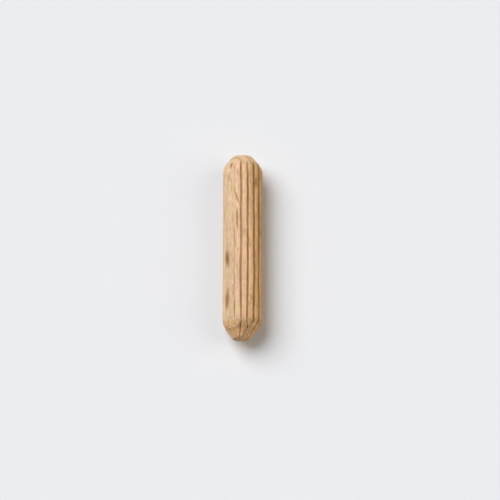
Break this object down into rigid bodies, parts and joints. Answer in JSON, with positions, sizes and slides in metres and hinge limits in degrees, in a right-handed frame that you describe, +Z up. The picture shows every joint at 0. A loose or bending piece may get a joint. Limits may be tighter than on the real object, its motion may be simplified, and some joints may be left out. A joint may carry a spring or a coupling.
{
  "type": "dowel pin",
  "caption": "Short wooden dowel pin with flutes pressed along it and a chamfer on each end, glued into two drilled holes to join boards.",
  "frame": {"origin": "on the surface that the pin lies on, under the middle of its length", "axes": "+Y along the pin's axis, +Z up from the surface, +X towards the flank with full flutes"},
  "size_m": [0.008, 0.038, 0.0079],
  "materials": {
    "beech": "bare, as pressed and cut"
  },
  "bodies": {
    "root": {"dowel_pin": "beech"}
  },
  "joints": []
}
